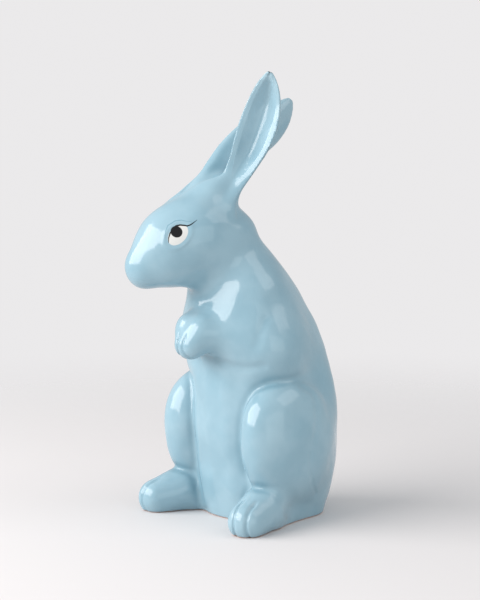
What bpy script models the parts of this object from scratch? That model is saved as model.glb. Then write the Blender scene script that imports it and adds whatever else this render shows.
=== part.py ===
"""A seated hare in glazed ceramic, with its head turned and its paws held at its chest.

The figure is one closed piece that stands on its flat underside. Its body is a set of rounded
forms, eggs and tapered limbs, and two cupped ears, all placed as shares of its own height. A
rough block of those forms is remeshed, its points are settled on the surface where the forms
melt into each other, and the underside is cut flat.

Run it with: blender --background --python part.py
"""

from math import cos, radians, sin

import bmesh
import bpy
import numpy as np
from mathutils import Matrix, Vector

# Driving size, in metres: the underside to the tip of the upright ear
HEIGHT = 0.420

# Shares of the height: a part is a 420th of it, which is a millimetre at the real size.
# Below, x points to the hare's left, y to its back and z up.
PARTS_IN_HEIGHT = 420.0
PART = HEIGHT / PARTS_IN_HEIGHT

# The working skin's grid and the number of triangles kept, which follow the carving's detail
SKIN_GRID = 1.7 * PART
TRIANGLES = 8800

# The head sits on the neck and looks to the hare's right
NECK = np.array([0.0, -52.0, 242.5])
HEAD_TURN = radians(25.0)
HEAD_LEFT = np.array([cos(HEAD_TURN), -sin(HEAD_TURN), 0.0])
HEAD_AHEAD = np.array([-sin(HEAD_TURN), -cos(HEAD_TURN), 0.0])
UP = np.array([0.0, 0.0, 1.0])

# How far each group of forms melts into the next, in parts
MELT_PAWS_TOGETHER = 6.0
MELT_HEAD = 22.0
MELT_EARS = 16.0
MELT_TAIL = 8.0

# Limbs stand out crisply in front and flow into the body behind. For each: how far it melts where
# it is crisp and where it flows, the direction from the one to the other, and where that starts
# and ends along that direction.
MELT_ARMS = (14.0, 30.0, (0.0, 1.0, 0.0), -78.0, -46.0)
MELT_HAUNCHES = (5.0, 22.0, (0.0, 0.8, -0.6), -74.0, -36.0)
MELT_FEET = (4.0, 14.0, (0.0, 1.0, 0.0), -62.0, -34.0)

# Furrows between the toes and fingers: they start behind the tip and fade out where they end
FURROW_WIDTH = 1.7
FURROW_DEPTH = 1.3
FURROW_START = 8.0
FURROW_RISE = 12.0
FURROW_FADE = 6.0

# Settling the skin: rounds of remeshing, steps in each, the slope's probe and the longest step
SETTLE_ROUNDS = 2
SETTLE_STEPS = 6
SETTLE_PROBE = 0.2
SETTLE_REACH = 3.0


def from_neck(left, ahead, up):
    """A point given in the turned head's own directions, from the top of the neck."""
    return NECK + left * HEAD_LEFT + ahead * HEAD_AHEAD + up * UP


def unit(vector):
    return vector / np.linalg.norm(vector)


def ease(share):
    """0 to 1 with soft ends."""
    share = np.clip(share, 0.0, 1.0)
    return share * share * (3.0 - 2.0 * share)


def melt(first, second, width):
    """The lesser of two distances, with the crease between them filled over width."""
    overlap = np.maximum(width - np.abs(first - second), 0.0) / width
    return np.minimum(first, second) - overlap * overlap * width / 4.0


def melt_along(first, second, points, widths):
    """Melt with a width that changes along a direction."""
    crisp, flowing, direction, start, end = widths
    share = ease((points @ np.array(direction) - start) / (end - start))
    return melt(first, second, crisp + (flowing - crisp) * share)


def scoop(solid, tool, width):
    """The solid less the tool, with its edge rounded over width."""
    return -melt(-solid, tool, width)


class Egg:
    """An ellipsoid; a squareness above 2 fills out its shoulders."""

    def __init__(self, centre, radii, squareness=2.0, axes=None):
        self.centre = np.array(centre, float)
        self.radii = np.array(radii, float)
        self.squareness = squareness
        self.axes = np.eye(3) if axes is None else axes

    def distance(self, points):
        local = np.abs((points - self.centre) @ self.axes.T)
        power = self.squareness
        size = np.maximum((((local / self.radii) ** power).sum(1)) ** (1.0 / power), 0.05)
        steepness = size ** (1.0 - power) * np.sqrt(
            ((local ** (power - 1.0) / self.radii ** power) ** 2).sum(1))
        return (size - 1.0) / np.maximum(steepness, 1e-4)

    def block(self, mesh, side):
        placed = bmesh.ops.create_icosphere(mesh, subdivisions=4, radius=1.0)
        for vert in placed["verts"]:
            direction = np.array(vert.co)
            power = self.squareness
            reach = ((np.abs(direction) ** power).sum()) ** (-1.0 / power)
            spot = self.centre + (direction * reach * self.radii) @ self.axes
            vert.co = Vector((spot[0] * side, spot[1], spot[2])) * PART
        close_faces(mesh, placed["verts"], side)


class Limb:
    """Two balls and the cone between them."""

    def __init__(self, start, end, start_radius, end_radius):
        self.start = np.array(start, float)
        self.end = np.array(end, float)
        self.start_radius = start_radius
        self.end_radius = end_radius

    def distance(self, points):
        axis = self.end - self.start
        length2 = axis @ axis
        taper = self.start_radius - self.end_radius
        flank2 = length2 - taper * taper
        offset = points - self.start
        along = offset @ axis
        beyond = along - length2
        square = offset * length2 - np.outer(along, axis)
        across2 = (square * square).sum(1)
        along2 = along * along * length2
        beyond2 = beyond * beyond * length2
        slope = np.sign(taper) * taper * taper * across2
        flank = (np.sqrt(across2 * flank2 / length2) + along * taper) / length2 - self.start_radius
        end_ball = np.sqrt(across2 + beyond2) / length2 - self.end_radius
        start_ball = np.sqrt(across2 + along2) / length2 - self.start_radius
        near_start = np.sign(along) * flank2 * along2 < slope
        near_end = np.sign(beyond) * flank2 * beyond2 > slope
        return np.where(near_end, end_ball, np.where(near_start, start_ball, flank))

    def block(self, mesh, side):
        limb = bmesh.new()
        for spot, radius in ((self.start, self.start_radius), (self.end, self.end_radius)):
            place = Matrix.Translation(Vector((spot[0] * side, spot[1], spot[2])) * PART)
            bmesh.ops.create_icosphere(limb, subdivisions=3, radius=radius * PART, matrix=place)
        hull = bmesh.ops.convex_hull(limb, input=limb.verts[:])
        inside = [item for item in hull["geom_interior"] if isinstance(item, bmesh.types.BMVert)]
        bmesh.ops.delete(limb, geom=inside, context="VERTS")
        data = bpy.data.meshes.new("limb")
        limb.to_mesh(data)
        limb.free()
        mesh.from_mesh(data)
        bpy.data.meshes.remove(data)


class Ear:
    """A curved leaf, round behind and cupped in front, with a folded valley down the cup."""

    SAMPLES = 24
    NEAR = 20.0
    FAR_BOUND = 15.0
    BLOCK_STATIONS = 12
    BLOCK_FROM = 0.04
    BLOCK_TO = 0.98
    BLOCK_LENGTH = 12.0
    BLOCK_LEAST_WIDTH = 0.3
    BLOCK_LEAST_DEPTH = 0.5
    FRONT_BULGE = 3.0
    RIM = 3.0
    RIM_ROUNDING = 3.0
    CUP_DEPTH = 0.62
    CUP_STARTS = 0.14
    CUP_EASES_OVER = 0.30
    CUP_ENDS_OVER = 0.16
    CUP_AT_TIP = 0.3
    WIDEST = 0.56
    DEPTH_AT_ROOT = 0.8
    LEAST_WIDTH = 0.07
    LEAST_DEPTH = 0.15
    LEAST_BULGE = 0.3
    TIP_LENGTHENS = 2.0
    TIP_FULLNESS = 0.78
    FOLD = 0.04

    def __init__(self, spine, opening, half_width, depth, root):
        self.spine = [np.array(point, float) for point in spine]
        self.opening = unit(opening)
        self.half_width = half_width
        self.depth = depth
        self.root = root

    def curve(self, shares):
        """Points on the Bezier spine, and its directions there."""
        shares = shares[:, None]
        points = self.spine
        while len(points) > 2:
            points = [a + (b - a) * shares for a, b in zip(points, points[1:])]
        direction = points[1] - points[0]
        spot = points[0] + direction * shares
        return spot, direction / np.linalg.norm(direction, axis=1, keepdims=True)

    def widths(self, shares):
        """How wide the ear is along its spine, as a share, and how far its tip has closed."""
        body = self.root + (1.0 - self.root) * ease(shares / self.WIDEST)
        past = np.clip((shares - self.WIDEST) / (1.0 - self.WIDEST), 0.0, 1.0)
        return body, (1.0 - past ** self.TIP_LENGTHENS) ** self.TIP_FULLNESS

    def distance(self, points):
        nodes, _ = self.curve(np.linspace(0.0, 1.0, self.SAMPLES + 1))
        middle = (nodes.min(0) + nodes.max(0)) / 2.0
        reach = np.linalg.norm(nodes.max(0) - nodes.min(0)) / 2.0 + self.half_width
        outside = np.linalg.norm(points - middle, axis=1) - reach
        result = np.maximum(outside, self.FAR_BOUND)
        close = np.where(outside < self.NEAR)[0]
        if len(close):
            result[close] = self.near_distance(points[close], nodes)
        return result

    def near_distance(self, points, nodes):
        starts = nodes[:-1]
        steps = nodes[1:] - starts
        offsets = points[:, None] - starts
        shares = np.clip((offsets * steps).sum(2) / (steps * steps).sum(1), 0.0, 1.0)
        gaps = offsets - shares[:, :, None] * steps
        nearest = (gaps * gaps).sum(2).argmin(1)
        row = np.arange(len(points))
        share = (nearest + shares[row, nearest]) / self.SAMPLES
        gap = gaps[row, nearest]

        _, direction = self.curve(share)
        facing = self.opening - (direction @ self.opening)[:, None] * direction
        facing /= np.linalg.norm(facing, axis=1, keepdims=True)
        across = (gap * np.cross(direction, facing)).sum(1)
        out = (gap * facing).sum(1)
        past_end = np.where((share <= 0.0) | (share >= 1.0), np.abs((gap * direction).sum(1)), 0.0)

        body, tip = self.widths(share)
        half_width = self.half_width * body * np.maximum(tip, self.LEAST_WIDTH)
        deeper = self.DEPTH_AT_ROOT + (1.0 - self.DEPTH_AT_ROOT) * ease(2.0 * share)
        back = self.depth * deeper * np.maximum(tip, self.LEAST_DEPTH)
        front = self.FRONT_BULGE * np.maximum(tip, self.LEAST_BULGE)

        height = np.where(out < 0.0, back, front)
        size = np.sqrt((across / half_width) ** 2 + (out / height) ** 2)
        steepness = np.sqrt((across / half_width ** 2) ** 2 + (out / height ** 2) ** 2)
        leaf = size * (size - 1.0) / np.maximum(steepness, 1e-6)
        leaf = np.where(past_end > 0.0, np.hypot(np.maximum(leaf, 0.0), past_end), leaf)

        cup = self.CUP_DEPTH * self.depth * ease((share - self.CUP_STARTS) / self.CUP_EASES_OVER)
        cup = cup * np.maximum(tip, self.CUP_AT_TIP) + self.FRONT_BULGE
        cup = cup * ease((1.0 - share) / self.CUP_ENDS_OVER)
        room = np.maximum(half_width - self.RIM, 1.0)
        fold = np.sqrt((across / room) ** 2 + self.FOLD) - np.sqrt(self.FOLD)
        fold /= np.sqrt(1.0 + self.FOLD) - np.sqrt(self.FOLD)
        floor = front - cup * (1.0 - fold)
        above_floor = (out - floor) / np.hypot(1.0, cup / room)
        return scoop(leaf, -above_floor, self.RIM_ROUNDING)

    def block(self, mesh, side):
        shares = np.linspace(self.BLOCK_FROM, self.BLOCK_TO, self.BLOCK_STATIONS)
        spots, directions = self.curve(shares)
        bodies, tips = self.widths(shares)
        for spot, direction, body, tip in zip(spots, directions, bodies, tips):
            facing = unit(self.opening - (direction @ self.opening) * direction)
            width = self.half_width * body * max(tip, self.BLOCK_LEAST_WIDTH)
            deep = max(tip, self.BLOCK_LEAST_DEPTH)
            radii = (width, self.BLOCK_LENGTH, (self.depth + self.FRONT_BULGE) * deep / 2.0)
            axes = np.stack([np.cross(direction, facing), direction, facing])
            middle = spot - facing * (self.depth - self.FRONT_BULGE) * deep / 2.0
            Egg(middle, radii, axes=axes).block(mesh, side)


def close_faces(mesh, verts, side):
    """Turn the faces of a mirrored form outwards again."""
    if side < 0:
        faces = {face for vert in verts for face in vert.link_faces}
        bmesh.ops.reverse_faces(mesh, faces=list(faces))


# The trunk, on the hare's middle plane: seat, belly, ribs, chest and neck
TRUNK = [
    (Egg((0, 1, 82), (56, 62, 108), 2.6), 0.0),
    (Egg((0, -4, 30), (48, 44, 70), 3.4), 16.0),
    (Egg((0, -22, 112), (45, 43, 72), 2.6), 14.0),
    (Egg((0, -6, 155), (50, 54, 66), 2.1), 22.0),
    (Egg((0, -23, 202), (41.5, 43.5, 50)), 28.0),
    (Limb((0, -34, 212), (-3, -45, 262), 34, 30), 25.0),
]

# The head, along the line from the skull to the muzzle
SKULL = from_neck(0, 26, 28)
MUZZLE = from_neck(0, 71, -2.5)
ALONG_FACE = unit(MUZZLE - SKULL)
FACE_AXES = np.stack([ALONG_FACE, np.cross(ALONG_FACE, HEAD_LEFT), HEAD_LEFT])
HEAD = [
    (Limb(SKULL, MUZZLE, 34, 20.5), 0.0),
    (Egg(from_neck(0, 48.5, 17), (31, 31, 25.5), axes=FACE_AXES), 15.0),
    (Egg(from_neck(0, 34.5, 17), (37, 34.5, 30), axes=FACE_AXES), 18.0),
    (Limb(from_neck(0, 19, 37), from_neck(0, 10, 61), 20, 13), 20.0),
]

# The ears lean back from the crown; the hare's left one stands higher
LEFT_EAR = Ear(
    [from_neck(11, 4, 56), from_neck(16, -23, 100), from_neck(20, -37, 139), from_neck(26, -38, 177.5)],
    0.84 * HEAD_LEFT + 0.54 * HEAD_AHEAD, half_width=18.4, depth=12.5, root=0.52)
RIGHT_EAR = Ear(
    [from_neck(-12, 17, 50), from_neck(-19, -1, 102), from_neck(-20, -57, 120), from_neck(-24, -73, 151)],
    -0.95 * HEAD_LEFT + 0.31 * HEAD_AHEAD, half_width=19.6, depth=12.5, root=0.80)
EARS = [(LEFT_EAR, 0.0), (RIGHT_EAR, 6.0)]

# The left limbs; the right ones are their mirror image
HAUNCH_LEAN = radians(7.0)
HAUNCH_AXES = np.array([
    (0.0, sin(HAUNCH_LEAN), -cos(HAUNCH_LEAN)),
    (0.0, cos(HAUNCH_LEAN), sin(HAUNCH_LEAN)),
    (1.0, 0.0, 0.0)])
HAUNCHES = [
    (Egg((56.5, -24, 79), (57, 46.5, 27.5), 2.2, HAUNCH_AXES), 0.0),
    (Egg((0, 9, 78), (64, 46.5, 87), 2.3), 20.0),
]
SHOULDER = (24, -38, 208)
ELBOW = (40, -29, 166)
WRIST = (8, -80.5, 180.5)
FINGERS = (4.4, -90.5, 168)
ARMS = [
    (Limb(SHOULDER, ELBOW, 24, 23), 0.0),
    (Limb(ELBOW, WRIST, 22, 15), 28.0),
    (Limb(WRIST, FINGERS, 13, 12), 10.0),
]
TOES = (67, -78, 12.5)
INSTEP = (59, -54, 18)
SOLE = (51, -38, 7)
HEEL = (30, 22, -3)
FEET = [
    (Limb(TOES, INSTEP, 18, 21.5), 0.0),
    (Limb(SOLE, HEEL, 15, 12), 14.0),
]
TAIL = [(Egg((0, 52.5, 53), (21, 19.5, 31)), 0.0)]

# Furrows: how far to each side of the toes' and fingers' middle line they run
TOE_FURROWS = (-6.5, 6.0)
TOE_FURROW_REACH = 26.0
FINGER_FURROWS = (-4.0, 3.5)
FINGER_FURROW_REACH = 16.0


def group_distance(forms, points):
    total = None
    for form, width in forms:
        distance = form.distance(points)
        total = distance if total is None else melt(total, distance, width)
    return total


def furrows(points, tip, back, offsets, reach):
    """Depth of the furrows that run over a paw to its tip, within reach of the tip."""
    tip = np.array(tip, float)
    direction = unit((tip - np.array(back, float)) * (1.0, 1.0, 0.0))
    sideways = np.array([-direction[1], direction[0], 0.0])
    across = (points - tip) @ sideways
    ahead = (points - tip) @ direction
    depth = 0.0
    for offset in offsets:
        depth = depth + np.exp(-((across - offset) / FURROW_WIDTH) ** 2)
    far = np.linalg.norm(points - tip, axis=1)
    near = ease((ahead + FURROW_START) / FURROW_RISE) * ease((reach - far) / FURROW_FADE)
    return FURROW_DEPTH * depth * near


def figure_distance(points):
    """Distance, in parts, from each point to the figure's surface, less than 0 inside it."""
    folded = np.abs(points) * (1.0, 0.0, 0.0) + points * (0.0, 1.0, 1.0)
    mirrored = points * (-1.0, 1.0, 1.0)
    arms = melt(group_distance(ARMS, points), group_distance(ARMS, mirrored), MELT_PAWS_TOGETHER)

    total = group_distance(TRUNK, points)
    total = melt(total, group_distance(HEAD, points), MELT_HEAD)
    total = melt(total, group_distance(EARS, points), MELT_EARS)
    arms = arms + furrows(folded, FINGERS, WRIST, FINGER_FURROWS, FINGER_FURROW_REACH)
    total = melt_along(total, arms, points, MELT_ARMS)
    total = melt_along(total, group_distance(HAUNCHES, folded), points, MELT_HAUNCHES)
    total = melt(total, group_distance(TAIL, points), MELT_TAIL)
    feet = group_distance(FEET, folded)
    feet = feet + furrows(folded, TOES, INSTEP, TOE_FURROWS, TOE_FURROW_REACH)
    return melt_along(total, feet, points, MELT_FEET)


def rough_block():
    """All forms as overlapping closed solids in one mesh."""
    mesh = bmesh.new()
    for form, _ in TRUNK + HEAD + EARS + TAIL:
        form.block(mesh, 1)
    for form, _ in HAUNCHES + ARMS + FEET:
        for side in (1, -1):
            form.block(mesh, side)
    data = bpy.data.meshes.new("hare")
    mesh.to_mesh(data)
    mesh.free()
    hare = bpy.data.objects.new("hare", data)
    bpy.context.collection.objects.link(hare)
    return hare


def bake(hare, modifier_type, **settings):
    """Add a modifier, and keep its result as the object's own mesh."""
    modifier = hare.modifiers.new(modifier_type.title(), modifier_type)
    for name, value in settings.items():
        setattr(modifier, name, value)
    evaluated = hare.evaluated_get(bpy.context.evaluated_depsgraph_get())
    result = bpy.data.meshes.new_from_object(evaluated)
    hare.modifiers.clear()
    old = hare.data
    hare.data = result
    bpy.data.meshes.remove(old)


def settle(hare):
    """Move the mesh's points along the surface's own slope until they lie on it."""
    count = len(hare.data.vertices)
    points = np.empty(count * 3)
    hare.data.vertices.foreach_get("co", points)
    points = points.reshape(count, 3) / PART
    for _ in range(SETTLE_STEPS):
        here = figure_distance(points)
        slope = np.empty_like(points)
        for axis in range(3):
            step = np.zeros(3)
            step[axis] = SETTLE_PROBE
            slope[:, axis] = (figure_distance(points + step) - here) / SETTLE_PROBE
        square = np.maximum((slope * slope).sum(1), 0.2)
        move = np.clip(here / square, -SETTLE_REACH, SETTLE_REACH)
        points -= slope * move[:, None]
    hare.data.vertices.foreach_set("co", (points * PART).ravel())
    hare.data.update()


def cut_underside(hare):
    """Cut the figure flat at height 0 and close it with one face."""
    mesh = bmesh.new()
    mesh.from_mesh(hare.data)
    everything = mesh.verts[:] + mesh.edges[:] + mesh.faces[:]
    bmesh.ops.bisect_plane(
        mesh, geom=everything, dist=0.02 * PART, plane_co=(0, 0, 0), plane_no=(0, 0, -1), clear_outer=True)
    rim = [edge for edge in mesh.edges if edge.is_boundary]
    for edge in rim:
        for vert in edge.verts:
            vert.co.z = 0.0
    bmesh.ops.edgeloop_fill(mesh, edges=rim)
    bmesh.ops.recalc_face_normals(mesh, faces=mesh.faces[:])
    mesh.to_mesh(hare.data)
    mesh.free()


def centre_on_box(hare):
    """Put the middle of the box's underside at the origin."""
    corners = np.array([vert.co[:] for vert in hare.data.vertices])
    middle = (corners.min(0) + corners.max(0)) / 2.0
    hare.data.transform(Matrix.Translation((-middle[0], -middle[1], 0.0)))


def glaze():
    """Pale blue glaze, glossy."""
    material = bpy.data.materials.new("pale blue glaze")
    material.use_nodes = True
    shader = material.node_tree.nodes["Principled BSDF"]
    shader.inputs["Base Color"].default_value = (0.36, 0.56, 0.66, 1.0)
    shader.inputs["Roughness"].default_value = 0.12
    shader.inputs["Metallic"].default_value = 0.0
    return material


def build_hare():
    hare = rough_block()
    for _ in range(SETTLE_ROUNDS):
        bake(hare, "REMESH", mode="VOXEL", voxel_size=SKIN_GRID)
        settle(hare)
    bake(hare, "DECIMATE", ratio=TRIANGLES / (2.0 * len(hare.data.polygons)))
    cut_underside(hare)
    centre_on_box(hare)
    hare.data.shade_smooth()
    hare.data.materials.clear()
    hare.data.materials.append(glaze())
    return hare


for old in list(bpy.data.objects):
    bpy.data.objects.remove(old)
build_hare()
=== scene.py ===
# %% [markdown]
# # A seated hare in pale blue glaze
# The real object is a slip-cast ceramic figure: one hollow casting, rounded everywhere, dipped in a
# glossy glaze and fired, with the eyes painted in black and white. This lesson dresses the packed
# CAD model of it: a finer skin, small relief that a mould keeps, the glaze, the painted eyes and
# a plain studio. Lengths of the figure are in parts, which are millimetres at its real size.
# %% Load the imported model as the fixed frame
from math import cos, radians, sin

import bmesh
import bpy
import numpy as np
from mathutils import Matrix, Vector


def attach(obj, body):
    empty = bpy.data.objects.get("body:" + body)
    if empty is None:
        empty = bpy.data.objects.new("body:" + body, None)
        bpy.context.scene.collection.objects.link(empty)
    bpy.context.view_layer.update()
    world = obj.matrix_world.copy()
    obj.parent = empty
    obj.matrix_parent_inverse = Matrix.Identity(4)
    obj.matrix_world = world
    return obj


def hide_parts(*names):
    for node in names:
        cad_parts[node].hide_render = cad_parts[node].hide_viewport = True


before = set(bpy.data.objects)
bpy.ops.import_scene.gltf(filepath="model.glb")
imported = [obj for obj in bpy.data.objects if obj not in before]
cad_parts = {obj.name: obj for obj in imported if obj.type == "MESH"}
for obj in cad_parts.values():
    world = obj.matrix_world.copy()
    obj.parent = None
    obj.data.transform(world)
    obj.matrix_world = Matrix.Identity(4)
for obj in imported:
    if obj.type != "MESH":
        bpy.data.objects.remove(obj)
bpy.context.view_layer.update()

# %% [markdown]
# ## Directions of the figure
# The CAD model is centred on its own box, but the hare was laid out from its middle plane and its
# neck. The head looks to the hare's right, so it has its own directions: left, ahead and up. They
# could be found by eye in the viewport, but the paint on the eyes and the relief both need them,
# so they are values with names.
# %% The figure's own origin and the head's directions
PART = 0.001
FIGURE_ORIGIN = np.array([0.04, 32.4, 0.0])
NECK = np.array([0.0, -52.0, 242.5])
HEAD_TURN = radians(25.0)
HEAD_LEFT = np.array([cos(HEAD_TURN), -sin(HEAD_TURN), 0.0])
HEAD_AHEAD = np.array([-sin(HEAD_TURN), -cos(HEAD_TURN), 0.0])
UP = np.array([0.0, 0.0, 1.0])


def from_neck(left, ahead, up):
    """A point given in the head's own directions, from the top of the neck."""
    return NECK + left * HEAD_LEFT + ahead * HEAD_AHEAD + up * UP


print("the muzzle points to", [round(value, 3) for value in HEAD_AHEAD])

# %% [markdown]
# ## Soft joins
# A potter smooths one form into the next with a thumb. With distances that is a soft minimum: where
# two forms are about as near, the crease between them fills up over a width. Booleans with
# bevels could do it too, but they leave seams that show in a glossy glaze. The limbs stand out
# crisply in front and flow into the body behind, so their width changes along a direction.
# %% Helpers for soft joins
def unit(vector):
    return vector / np.linalg.norm(vector)


def ease(share):
    """0 to 1 with soft ends."""
    share = np.clip(share, 0.0, 1.0)
    return share * share * (3.0 - 2.0 * share)


def melt(first, second, width):
    """The lesser of two distances, with the crease between them filled over width."""
    overlap = np.maximum(width - np.abs(first - second), 0.0) / width
    return np.minimum(first, second) - overlap * overlap * width / 4.0


def melt_along(first, second, points, widths):
    """Melt with a width that changes along a direction."""
    crisp, flowing, direction, start, end = widths
    share = ease((points @ np.array(direction) - start) / (end - start))
    return melt(first, second, crisp + (flowing - crisp) * share)


def scoop(solid, tool, width):
    """The solid less the tool, with its edge rounded over width."""
    return -melt(-solid, tool, width)


print("two balls 1 apart, melted over 2:", melt(np.array([1.0]), np.array([1.0]), 2.0))

# %% [markdown]
# ## Eggs
# The belly, the haunches, the skull and the tail are eggs in the real model. A plain ellipsoid is
# too pointed for the trunk, so a squareness above 2 fills out its shoulders.
# %% The egg
class Egg:
    """An ellipsoid; a squareness above 2 fills out its shoulders."""

    LEAST_SIZE = 0.05
    LEAST_STEEPNESS = 1e-4

    def __init__(self, centre, radii, squareness=2.0, axes=None):
        self.centre = np.array(centre, float)
        self.radii = np.array(radii, float)
        self.squareness = squareness
        self.axes = np.eye(3) if axes is None else axes

    def distance(self, points):
        local = np.abs((points - self.centre) @ self.axes.T)
        power = self.squareness
        size = ((local / self.radii) ** power).sum(1) ** (1.0 / power)
        size = np.maximum(size, self.LEAST_SIZE)
        steepness = size ** (1.0 - power) * np.sqrt(
            ((local ** (power - 1.0) / self.radii ** power) ** 2).sum(1))
        return (size - 1.0) / np.maximum(steepness, self.LEAST_STEEPNESS)


print("a ball's top is", Egg((0, 0, 0), (1, 1, 1)).distance(np.array([[0.0, 0.0, 1.5]])), "below that point")

# %% [markdown]
# ## Limbs
# Arms, feet, the neck and the muzzle taper from a thick end to a thin one. Two balls and the cone
# that touches both make such a limb, and its exact distance is known in closed form.
# %% The limb
class Limb:
    """Two balls and the cone between them."""

    def __init__(self, start, end, start_radius, end_radius):
        self.start = np.array(start, float)
        self.end = np.array(end, float)
        self.start_radius = start_radius
        self.end_radius = end_radius

    def distance(self, points):
        axis = self.end - self.start
        length2 = axis @ axis
        taper = self.start_radius - self.end_radius
        flank2 = length2 - taper * taper
        offset = points - self.start
        along = offset @ axis
        beyond = along - length2
        square = offset * length2 - np.outer(along, axis)
        across2 = (square * square).sum(1)
        along2 = along * along * length2
        beyond2 = beyond * beyond * length2
        slope = np.sign(taper) * taper * taper * across2
        flank = (np.sqrt(across2 * flank2 / length2) + along * taper) / length2 - self.start_radius
        end_ball = np.sqrt(across2 + beyond2) / length2 - self.end_radius
        start_ball = np.sqrt(across2 + along2) / length2 - self.start_radius
        near_start = np.sign(along) * flank2 * along2 < slope
        near_end = np.sign(beyond) * flank2 * beyond2 > slope
        return np.where(near_end, end_ball, np.where(near_start, start_ball, flank))


arm_test = Limb((0, 0, 0), (10, 0, 0), 3, 2)
print("a point 5 over a limb is this far from it:", arm_test.distance(np.array([[5.0, 0.0, 5.0]])))

# %% [markdown]
# ## Ears
# An ear is a long leaf: round behind, cupped in front, with a folded valley down the cup and a rim
# all round, which the glaze rounds over. It follows a bent spine. Lofting sections along a curve
# would make the leaf, but not its soft join with the crown, so the ear is a distance as well.
# Shares run along the spine from 0 at the root to 1 at the tip, and the other numbers are in parts.
# %% The ear
class Ear:
    """A curved leaf, round behind and cupped in front, with a folded valley down the cup."""

    SAMPLES = 24
    NEAR = 20.0
    FAR_BOUND = 15.0
    FRONT_BULGE = 3.0
    EDGE_ROUNDING = 1.6
    EDGE_MOST_SHARE = 0.5
    EDGE_STARTS = 0.1
    EDGE_EASES_OVER = 0.2
    RIM = 2.2
    RIM_ROUNDING = 3.6
    LEAST_ROOM = 1.0
    CUP_DEPTH = 0.62
    CUP_STARTS = 0.14
    CUP_EASES_OVER = 0.30
    CUP_ENDS_OVER = 0.16
    CUP_AT_TIP = 0.3
    CUP_STEEPEST = 0.7
    WIDEST = 0.56
    DEPTH_AT_ROOT = 0.8
    DEEPENS_OVER = 0.5
    LEAST_WIDTH = 0.07
    LEAST_DEPTH = 0.15
    LEAST_BULGE = 0.3
    LEAST_STEEPNESS = 1e-6
    TIP_LENGTHENS = 2.0
    TIP_FULLNESS = 0.78
    FOLD = 0.08

    def __init__(self, spine, opening, half_width, depth, root):
        self.spine = [np.array(point, float) for point in spine]
        self.opening = unit(opening)
        self.half_width = half_width
        self.depth = depth
        self.root = root

    def curve(self, shares):
        """Points on the Bezier spine, and its directions there."""
        shares = shares[:, None]
        points = self.spine
        while len(points) > 2:
            points = [a + (b - a) * shares for a, b in zip(points, points[1:])]
        direction = points[1] - points[0]
        spot = points[0] + direction * shares
        return spot, direction / np.linalg.norm(direction, axis=1, keepdims=True)

    def widths(self, shares):
        """How wide the ear is along its spine, as a share, and how far its tip has closed."""
        body = self.root + (1.0 - self.root) * ease(shares / self.WIDEST)
        past = np.clip((shares - self.WIDEST) / (1.0 - self.WIDEST), 0.0, 1.0)
        return body, (1.0 - past ** self.TIP_LENGTHENS) ** self.TIP_FULLNESS

    def distance(self, points):
        nodes, _ = self.curve(np.linspace(0.0, 1.0, self.SAMPLES + 1))
        middle = (nodes.min(0) + nodes.max(0)) / 2.0
        reach = np.linalg.norm(nodes.max(0) - nodes.min(0)) / 2.0 + self.half_width
        outside = np.linalg.norm(points - middle, axis=1) - reach
        result = np.maximum(outside, self.FAR_BOUND)
        close = np.where(outside < self.NEAR)[0]
        if len(close):
            result[close] = self.near_distance(points[close], nodes)
        return result

    def near_distance(self, points, nodes):
        starts = nodes[:-1]
        steps = nodes[1:] - starts
        offsets = points[:, None] - starts
        shares = np.clip((offsets * steps).sum(2) / (steps * steps).sum(1), 0.0, 1.0)
        gaps = offsets - shares[:, :, None] * steps
        nearest = (gaps * gaps).sum(2).argmin(1)
        row = np.arange(len(points))
        share = (nearest + shares[row, nearest]) / self.SAMPLES
        gap = gaps[row, nearest]

        _, direction = self.curve(share)
        facing = self.opening - (direction @ self.opening)[:, None] * direction
        facing /= np.linalg.norm(facing, axis=1, keepdims=True)
        across = (gap * np.cross(direction, facing)).sum(1)
        out = (gap * facing).sum(1)
        past_end = np.where((share <= 0.0) | (share >= 1.0), np.abs((gap * direction).sum(1)), 0.0)

        body, tip = self.widths(share)
        half_width = self.half_width * body * np.maximum(tip, self.LEAST_WIDTH)
        deeper = self.DEPTH_AT_ROOT + (1.0 - self.DEPTH_AT_ROOT) * ease(share / self.DEEPENS_OVER)
        back = self.depth * deeper * np.maximum(tip, self.LEAST_DEPTH)
        front = self.FRONT_BULGE * np.maximum(tip, self.LEAST_BULGE)

        edge = self.EDGE_ROUNDING * ease((share - self.EDGE_STARTS) / self.EDGE_EASES_OVER)
        edge = np.minimum(edge, self.EDGE_MOST_SHARE * np.minimum(half_width, front))
        height = np.where(out < 0.0, back, front) - edge
        wide = half_width - edge
        size = np.sqrt((across / wide) ** 2 + (out / height) ** 2)
        steepness = np.sqrt((across / wide ** 2) ** 2 + (out / height ** 2) ** 2)
        leaf = size * (size - 1.0) / np.maximum(steepness, self.LEAST_STEEPNESS)
        leaf = np.where(past_end > 0.0, np.hypot(np.maximum(leaf, 0.0), past_end), leaf) - edge

        cup = self.CUP_DEPTH * self.depth * ease((share - self.CUP_STARTS) / self.CUP_EASES_OVER)
        cup = cup * np.maximum(tip, self.CUP_AT_TIP) + self.FRONT_BULGE
        cup = cup * ease((1.0 - share) / self.CUP_ENDS_OVER)
        room = np.maximum(half_width - self.RIM, self.LEAST_ROOM)
        cup = np.minimum(cup, self.CUP_STEEPEST * room)
        fold = np.sqrt((across / room) ** 2 + self.FOLD) - np.sqrt(self.FOLD)
        fold /= np.sqrt(1.0 + self.FOLD) - np.sqrt(self.FOLD)
        floor = front - cup * (1.0 - fold)
        above_floor = (out - floor) / np.hypot(1.0, cup / room)
        return scoop(leaf, -above_floor, self.RIM_ROUNDING)


print("an ear's cup is", Ear.CUP_DEPTH, "of its depth")

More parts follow.
